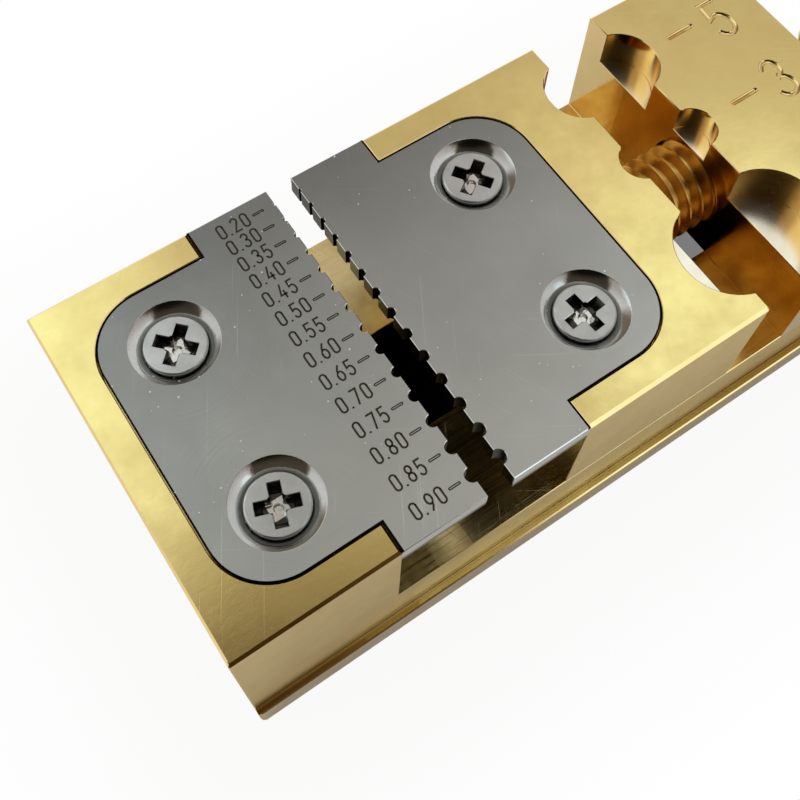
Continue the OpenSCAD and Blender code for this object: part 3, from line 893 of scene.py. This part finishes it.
@dataclass
class Studio:
    """The floor, the dome and the camera.

    Attributes:
        lens_px: The photograph's focal length, in pixels of an 800-pixel frame.
        centre_px: Where the lens's axis meets the frame.
        place_mm: The camera's place.
        right, down: The frame's directions in the part's frame.
        floor_m: Width of the floor.
        floor_white: Share of plain white in what is seen of the floor beside the vise.
        shadow_mm: How far from the vise its soft shadow darkens what metal mirrors of the floor.
        shadow_share: Share of the white that is left in that shadow, beside the vise.
        slot_mm: Places along the vise between which painted light, as if it fell through the open slot, comes
            onto the floor.
        slot_share: Share of white painted on the floor seen through that slot, a painted pool of light.
        room_light: The light that falls on the floor, beside a background of 1.
        patches: Lamps and flags on the dome.
    """

    lens_px: float = 1124.8
    frame_px: float = 800.0
    centre_px: Point = (400.3, 296.2)
    place_mm: Triple = (-31.69, -23.45, 74.36)
    right: Triple = (0.8287, -0.5593, 0.0220)
    down: Triple = (-0.4866, -0.7392, -0.4657)
    floor_m: float = 2.0
    floor_white: float = 0.93
    shadow_mm: float = 22.0
    shadow_share: float = 0.28
    slot_mm: Point = (11.0, 12.0)
    slot_share: float = 0.2
    room_light: float = 0.9
    # The wide flags dim what the tops, the plates and the near side mirror, and the lamps between them give
    # the ledge, the chamfers and the moving plate their shine. The small last ones shape single chamfers.
    patches: tuple[Patch, ...] = (
        Patch(Light.FLAG, 0, 90, 46, 70, 0.38),
        Patch(Light.LAMP, 120, 55, 17, 26, 0.72),
        Patch(Light.LAMP, 20, 58, 3, 11, 0.75),
        Patch(Light.FLAG, -128, 10, 50, 57, 0.9),
        Patch(Light.LAMP, -62, 12, 9, 17, 0.5),
        Patch(Light.FLAG, -110, 70, 26, 40, 0.9),
        Patch(Light.FLAG, -15, 58, 12, 20, 0.6),
        Patch(Light.LAMP, -31, 72, 5, 13, 1.8),
        Patch(Light.FLAG, 85, 0, 25, 50, 0.75),
        Patch(Light.FLAG, 100, 78, 4, 9, 0.22),
        Patch(Light.FLAG, 53, 61, 2, 7, 0.2),
        Patch(Light.LAMP, 40, 54, 1, 5, 0.25),
    )

    def camera(self) -> None:
        """Places the camera where the photograph was taken from."""
        lens = bpy.data.cameras.new("camera")
        lens.sensor_width = 36.0
        lens.lens = self.lens_px * lens.sensor_width / self.frame_px
        lens.shift_x = (self.frame_px / 2 - self.centre_px[0]) / self.frame_px
        lens.shift_y = (self.centre_px[1] - self.frame_px / 2) / self.frame_px
        lens.clip_start = 0.001
        lens.clip_end = 10.0
        camera = bpy.data.objects.new("camera", lens)
        across = Vector(self.right).normalized()
        up = -Vector(self.down)
        up = (up - across * up.dot(across)).normalized()
        turn = Matrix((across, up, across.cross(up))).transposed()
        camera.matrix_world = Matrix.Translation(Vector(self.place_mm) * MM) @ turn.to_4x4()
        bpy.context.scene.collection.objects.link(camera)
        bpy.context.scene.camera = camera

    def dome(self) -> None:
        """Lights the scene with a plain white dome, which metal mirrors as a soft studio.

        Camera, glossy and transmitted rays meet the same white background. Lamps and flags stand before it
        for all but the camera.
        """
        world = bpy.data.worlds.new("studio")
        bpy.context.scene.world = world
        world.use_nodes = True
        tree = Tree(world.node_tree)
        rays = tree.add("ShaderNodeLightPath").outputs
        look = tree.add("ShaderNodeTexCoord").outputs["Generated"]
        plain = tree.mix(self.background_seen(tree, rays), self.room_light, 1.0)
        total: Value = plain
        for patch in self.patches:
            near = tree.vector("DOT_PRODUCT", look, tuple(patch.towards()))
            ends = (math.cos(math.radians(patch.edge_deg)), math.cos(math.radians(patch.core_deg)))
            lamp = patch.kind is Light.LAMP
            results = (0.0, patch.strength) if lamp else (1.0, 1.0 - patch.strength)
            share = tree.ramp(near, ends, results, "SMOOTHSTEP")
            total = tree.maths("ADD" if lamp else "MULTIPLY", total, share)
        lit, bright = tree.ramp(total, (0.2, 0.65)), tree.ramp(total, (0.8, 1.3))
        tint = tree.mix(lit, linear("FFE9C8"), linear("FFF8F4"), "RGBA")
        tint = tree.mix(bright, tint, linear("F2FFFF"), "RGBA")
        soft = tree.add("ShaderNodeBackground", {"Color": tint, "Strength": total}).outputs[0]
        white = tree.add("ShaderNodeBackground", {"Color": WHITE, "Strength": plain}).outputs[0]
        pick = tree.add("ShaderNodeMixShader", {0: rays["Is Camera Ray"], 1: soft, 2: white}).outputs[0]
        tree.add("ShaderNodeOutputWorld", {"Surface": pick})

    def background_seen(self, tree: Tree, rays: bpy_prop_collection) -> Socket:
        """Returns 1 for the rays that show the background: camera, glossy and transmission rays."""
        mirrored = tree.maths("MAXIMUM", rays["Is Glossy Ray"], rays["Is Transmission Ray"])
        return tree.maths("MAXIMUM", rays["Is Camera Ray"], mirrored)

    def floor(self) -> None:
        """Lays the pale floor, which is plain white to the eye and in metal, with the vise's soft shadow.

        Under the vise, where the slots let the camera look through, it is painted nearly black as a painted
        shadow, with a painted pool of light towards the slot's open end.
        """
        skin = Surface("pale_floor")
        rays = skin.add("ShaderNodeLightPath").outputs
        low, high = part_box("bed")
        spans = [(low[axis] / MM, high[axis] / MM) for axis in (0, 1)]
        inset = 0.7
        under = skin.within([(out, (a + inset, b - inset)) for out, (a, b) in zip(skin.xyz, spans)])
        middle = tuple((a + b) / 2 for a, b in spans)
        reach = tuple((b - a) / 2 for a, b in spans)
        offset = skin.vector("ABSOLUTE", skin.vector("SUBTRACT", skin.place, (*middle, 0.0)))
        outside = skin.vector("SUBTRACT", offset, (*reach, 0.0))
        away = skin.vector("LENGTH", skin.vector("MAXIMUM", outside, (0.0, 0.0, 0.0)))
        fade = (0.0, self.shadow_mm)
        clear = skin.ramp(away, fade, (self.shadow_share, 1.0), "SMOOTHSTEP")
        shadow = skin.maths("MAXIMUM", rays["Is Camera Ray"], clear)
        plain = skin.ramp(away, fade, (self.floor_white, 1.0), "SMOOTHSTEP")
        # Painted light: a pool of white is painted on the floor under the vise, where the slot is open.
        lit = skin.ramp(skin.xyz[0], self.slot_mm, (0.0, self.slot_share))
        bright = skin.mix(under, skin.maths("MULTIPLY", shadow, plain), lit)
        share = skin.maths("MULTIPLY", self.background_seen(skin, rays), bright)
        # Painted shadow: under the vise the floor is painted nearly black.
        tone = skin.mix(under, linear("F6F4F0"), linear("100E0C"), "RGBA")
        grey = skin.add("ShaderNodeBsdfDiffuse", {"Color": tone}).outputs[0]
        white = skin.add("ShaderNodeEmission", {"Color": WHITE, "Strength": 1.0}).outputs[0]
        mixed = skin.add("ShaderNodeMixShader", {0: share, 1: grey, 2: white})
        half = self.floor_m / 2
        corners = [(-half, -half, 0), (half, -half, 0), (half, half, 0), (-half, half, 0)]
        floor = add_object("floor", corners, [[0, 1, 2, 3]], skin.close(mixed))


def milled_brass() -> Metal:
    """Returns the finish of the bed and the moving block."""
    # Sawn bar, milled on all sides with a sharp cutter: the tops are stoned to an even, softly mottled
    # shine, and the near side is brushed and mirrors nothing clearly. The slideway keeps the cutter's long
    # marks, dark with oil, and a painted highlight makes it brighter in places. The ledge mirrors sharply and
    # is painted darker towards the left as painted shade, and the near top chamfer of the bed's jaw is
    # painted dark as painted shade. The nut block round its pockets and its left face are painted a deeper
    # orange, a painted reflection of brass in brass. The pockets' floors are painted near-white as a painted
    # highlight, and inside the slot the walls are painted nearly black as painted shade.
    fine, long, coarse = (0.6, 0.6, 0.6), (5.0, 0.3, 1.0), (5.0, 0.15, 1.0)
    # Painted highlight: where the near slideway is painted brighter, in two steps.
    painted_highlight = Where((-19.6, -16.5), (-12.0, -6.0), SLIDEWAY, FLAT)
    zones = (
        Zone("EAD094", "E2C688", 0.12, fine, 0.6, 0.4),
        Zone("DCC486", "D2B87A", 0.45, fine, 1.0, 0.4, where=Where(y=(-12.0, -11.4), up=UPRIGHT)),
        Zone("CDBA92", "C2AE86", 0.35, fine, 1.0, 0.4, where=Where(y=(-12.2, -12.0), up=UPRIGHT)),
        Zone("F1DC93", "E3CB84", 0.16, (0.5, 0.4, 0.5), 1.6, 0.6, 0.3, where=Where(z=TOP, up=FLAT)),
        Zone("FFF0B4", "6A4818", 0.2, coarse, 12.0, 3.0, 0.8,
             where=Where((-22.0, -9.3), None, SLIDEWAY, FLAT)),
        Zone("FFF6C4", "907038", 0.2, coarse, 14.0, 3.0, 1.0, where=painted_highlight),
        Zone("FFFACC", "C8A860", 0.2, coarse, 14.0, 3.0, 0.8, where=replace(painted_highlight, x=(-19.0, -16.5))),
        Zone("F4E4B0", "D0B474", 0.2, (5.0, 0.4, 1.0), 3.0, 1.0, 0.4,
             where=Where((-22.0, -9.3), (3.6, 11.6), SLIDEWAY, FLAT)),
        Zone("DFB66C", "A87838", 0.24, long, 5.0, 2.0, 0.4, where=Where((3.0, 9.0), None, SLIDEWAY, FLAT)),
        Zone("F2DA90", "E4C87C", 0.07, long, 0.6, where=Where(z=LEDGE, up=FLAT)),
        # Painted shade: the ledge is painted darker towards its left end, in two steps.
        Zone("E0BC70", "CCA054", 0.07, long, 0.6, where=Where((-33.0, -20.5), None, LEDGE, FLAT)),
        Zone("CC9C54", "B08040", 0.07, long, 0.6, where=Where((-33.0, -24.5), None, LEDGE, FLAT)),
        # Painted shade: the near top chamfer of the bed's jaw is painted dark brown.
        Zone("8A6428", "5C3C14", 0.3, fine, 0.6,
             where=Where((-32.2, -21.0), (-11.6, -11.2), (16.4, 16.8), SLOPED)),
        # Painted reflection: the nut block round its pockets is painted a deeper orange, for brass mirrored
        # in brass.
        Zone("E6BE6E", "CC9C54", 0.13, fine, 1.0, where=Where(x=(8.8, 13.5), z=(7.5, 16.6))),
        # Painted reflection: the nut block's left face is painted a deeper orange, for the slideway it
        # mirrors.
        Zone("D8B468", "C49A50", 0.16, fine, 1.0,
             where=Where((8.6, 8.8), (-12.0, 7.0), (7.5, 16.5), UPRIGHT)),
        # Painted highlight: the pockets' floors are painted near-white.
        Zone("FFFBEC", "FFF4DC", 0.25, (0.4, 0.4, 0.4), 2.0, where=Where(z=(13.7, 15.0), up=FLAT)),
        # Painted shade: the walls inside the slot are painted nearly black.
        Zone("2C1C08", "1C1004", 0.4, fine, 0.0,
             where=Where((-20.0, 15.0), (-3.8, 3.8), (0.0, 7.3), UPRIGHT)),
    )
    chatter = (
        Chatter((-10.3, 13.5), 0.5, 5.0, Where((-9.6, -1.5), (8.8, 12.0), TOP)),
        Chatter((-20.5, -14.0), 0.3, 9.0, Where((-22.0, -18.5), (-12.0, -8.0), SLIDEWAY)),
    )
    return Metal("milled_brass", zones, chatter, cloud_mm=2.5)


def turned_brass() -> Metal:
    """Returns the finish of the lead screw and the knob."""
    # Turned on a lathe, with its tool's fine rings. The thread is painted darker and more orange as painted
    # shade.
    return Metal("turned_brass", (
        Zone("F0D58A", "E5C677", 0.15, (0.2, 5.0, 5.0), 1.2),
        # Painted shade: the threaded part is painted darker and more orange.
        Zone("E0B868", "B88644", 0.28, (0.4, 3.0, 3.0), 0.5, where=Where(x=(-4.0, 21.3))),
    ))


def lapped_steel() -> Metal:
    """Returns the finish of the jaw plates."""
    # Hardened plate, lapped flat: fine crossed scratches blur it evenly, and the countersinks and chamfers,
    # cut afterwards, stay bright. The tops are painted darker towards the far side as painted shade, and the
    # sides are darker low down. The chamfer that lies against the brass is painted black as the painted
    # shadow of the gap, and the jaws' faces and notches are painted nearly black as painted shade.
    even = (0.3, 0.3, 0.3)
    bodies = ((-31.0, -21.75), (-9.65, 0.0))
    sinks = ((-28.75, -23.1), (-7.95, -2.3))
    jaws = ((-17.6, -16.3), (-14.8, -14.2))
    zones = (
        Zone("DADADA", "CFCFCE", 0.18, even, 1.0),
        # Painted shade: the plates' tops are painted darker towards the far side.
        Zone("C8C9C5", "BCBDB9", 0.36, (0.25, 0.1, 0.2), 1.8, 2.0, painted_far_shade=0.45,
             where=Where(z=TOP, up=FLAT)),
        Zone("6A6258", "4A4238", 0.3, even, 0.0, where=Where(z=(15.2, 15.7), up=UPRIGHT)),
        # Painted shadow: the chamfers along the plates' edges against the brass are painted black, the gap's
        # shadow.
        *(Zone("1C1812", "14110D", 0.4, even, 0.0, where=Where(x=span, z=(16.5, 16.8), up=SLOPED))
          for span in bodies),
        *(Zone("C8C8C6", "ABABA9", 0.14, (0.15, 0.15, 0.15), 3.0, streaks=0.5,
               where=Where(x=span, y=(-8.4, 8.4), up=SLOPED)) for span in sinks),
        # Painted shade: the jaw faces and the notches' walls are painted nearly black.
        *(Zone("1C1A17", "100E0C", 0.35, (0.2, 0.2, 0.2), 1.0,
               where=Where(x=span, y=(-11.4, 11.4), up=UPRIGHT)) for span in jaws),
    )
    countersinks = Where((-29.0, -2.2), (-8.6, 8.6), (14.0, 16.72))
    chatter = (Chatter((-15.55, 0.0), 0.16, 5.0, countersinks, (10.4, 5.6)),)
    return Metal("lapped_steel", zones, chatter, cloud_mm=6.0, specks=True)


def screw_steel() -> Metal:
    """Returns the finish of the plate screws."""
    # Turned screw: its face is bright. Its cross is painted nearly black as painted shade, round a middle
    # painted near-white as a painted glint.
    # Painted shade: the arms of the cross are painted nearly black.
    painted_shade_cross = Zone("4A4844", "343230", 0.22, (0.2, 0.2, 0.2), 1.0)
    # Painted highlight: the middle of the cross is painted near-white as a glint.
    bright = Zone("E6E5E0", "C8C7C2", 0.15, (0.2, 0.2, 0.2), 1.0)
    inner = [
        replace(zone, where=Where((x - reach, x + reach), (y - reach, y + reach), (15.0, top)))
        for zone, reach, top in ((painted_shade_cross, 1.3, 16.3), (bright, 0.55, 16.0))
        for x in (-25.95, -5.15) for y in (-5.6, 5.6)
    ]
    face = Zone("CCCDCA", "B6B7B5", 0.3, (0.25, 0.25, 0.25), 2.0, 1.0)
    return Metal("screw_steel", (face, *inner), cloud_mm=1.2)


def metals() -> dict[str, Material]:
    """Builds the finish of every part, by the material's name."""
    made = (
        milled_brass(),
        turned_brass(),
        lapped_steel(),
        screw_steel(),
        # Bright ground steel of the small hidden parts.
        Metal("plain_steel", (Zone("B9BABC", "A9AAAC", 0.25, (0.4, 0.4, 0.4), 1.0),)),
        # The key and its keeper under the bed, black with oil.
        Metal("oiled_steel", (Zone("4A4036", "332B22", 0.35, (0.4, 0.4, 0.4), 1.0),)),
        # Laser marks, a thin dark oxide.
        Metal("laser_marks", (Zone("4A443B", "3A352E", 0.5, (0.2, 0.2, 0.2), 0.0),)),
    )
    return {metal.name: metal.material() for metal in made}


def bed_edges() -> tuple[EdgeRule, ...]:
    """Returns the bed's chamfers: its lower edges, the foot's corners, the tops and the pockets."""
    return (
        EdgeRule(0.03),
        EdgeRule(0.05, z=(7.3, 7.5)),
        EdgeRule(0.1, z=(-0.1, 0.1)),
        EdgeRule(0.08, x=LEFT_END),
        EdgeRule(0.02, z=(2.5, 2.9)),
        EdgeRule(0.1, y=(-12.2, -11.9), z=LEDGE),
        EdgeRule(0.1, y=(11.9, 12.2), z=LEDGE),
        EdgeRule(0.3, LEFT_END, (-12.1, -12.0), (0.5, 2.5)),
        EdgeRule(0.3, LEFT_END, (12.0, 12.1), (0.5, 2.5)),
        EdgeRule(0.145, z=TOP),
        EdgeRule(0.19, y=NEAR_RIM, z=TOP),
        EdgeRule(0.05, (-31.0, -21.8), (-10.0, 10.0), TOP),
        EdgeRule(0.05, (8.6, 19.0), (-11.35, 11.35), TOP),
    )


def moving_block_edges() -> tuple[EdgeRule, ...]:
    """Returns the moving block's chamfers: its top, widest along the near edge, and its pockets."""
    return (
        EdgeRule(0.03),
        EdgeRule(0.145, z=TOP),
        EdgeRule(0.22, y=NEAR_RIM, z=TOP),
        EdgeRule(0.05, (-9.7, 4.0), (-11.35, 11.35), TOP),
    )


def plate_edges() -> tuple[EdgeRule, ...]:
    """Returns the jaw plates' chamfers, widest against the brass and finest along the notches."""
    return (
        EdgeRule(0.02),
        EdgeRule(0.06, z=TOP),
        EdgeRule(0.09, y=(-11.4, 11.4), z=TOP),
        EdgeRule(0.03, (-21.7, -16.3), NEAR_RIM, TOP),
        EdgeRule(0.14, x=(-22.1, -21.8), z=TOP),
        EdgeRule(0.14, x=(-9.6, -9.3), z=TOP),
        EdgeRule(0.03, (-17.6, -14.2), (-11.4, 11.4), TOP),
        EdgeRule(0.025, x=(-28.8, -23.0), y=(-8.5, 8.5)),
        EdgeRule(0.025, x=(-8.0, -2.2), y=(-8.5, 8.5)),
    )


def screw_edges(node: str) -> tuple[EdgeRule, ...]:
    """Returns a plate screw's rounded rim and the fine edges of its cross."""
    low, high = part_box(node)
    x, y = ((low[axis] + high[axis]) / 2 / MM for axis in (0, 1))
    return (EdgeRule(0.13), EdgeRule(0.025, (x - 1.29, x + 1.29), (y - 1.29, y + 1.29)))


def main() -> None:
    """Builds the vise's looks, part by part."""
    logging.basicConfig(level=logging.INFO, format="%(message)s")
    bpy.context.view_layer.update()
    bpy.context.scene.view_settings.view_transform = "Standard"
    layout = Layout.read()
    studio = Studio()
    studio.camera()
    studio.dome()
    studio.floor()

    finishes = metals()
    dresser = Dresser()
    dresser.dress("bed", finishes["milled_brass"], bed_edges(), cutters=PocketNumbers().cutters(layout))
    dresser.dress("moving_block", finishes["milled_brass"], moving_block_edges())
    dresser.dress("knob", finishes["turned_brass"], (EdgeRule(0.03),))
    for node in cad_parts:
        if node.endswith("jaw_plate"):
            dresser.dress(node, finishes["lapped_steel"], plate_edges())
        elif "plate_screw" in node:
            dresser.dress(node, finishes["screw_steel"], screw_edges(node), 3, CrossRecess().cutters(node))
        elif node in ("guide_key", "keeper_plate"):
            dresser.dress(node, finishes["oiled_steel"], (EdgeRule(0.05),))
        elif node not in ("bed", "moving_block", "knob", "lead_screw"):
            dresser.dress(node, finishes["plain_steel"], (EdgeRule(0.05),))
    LeadScrew().build(layout, finishes["turned_brass"])
    Graduations().build(layout, finishes["laser_marks"])


if __name__ == "__main__":
    main()
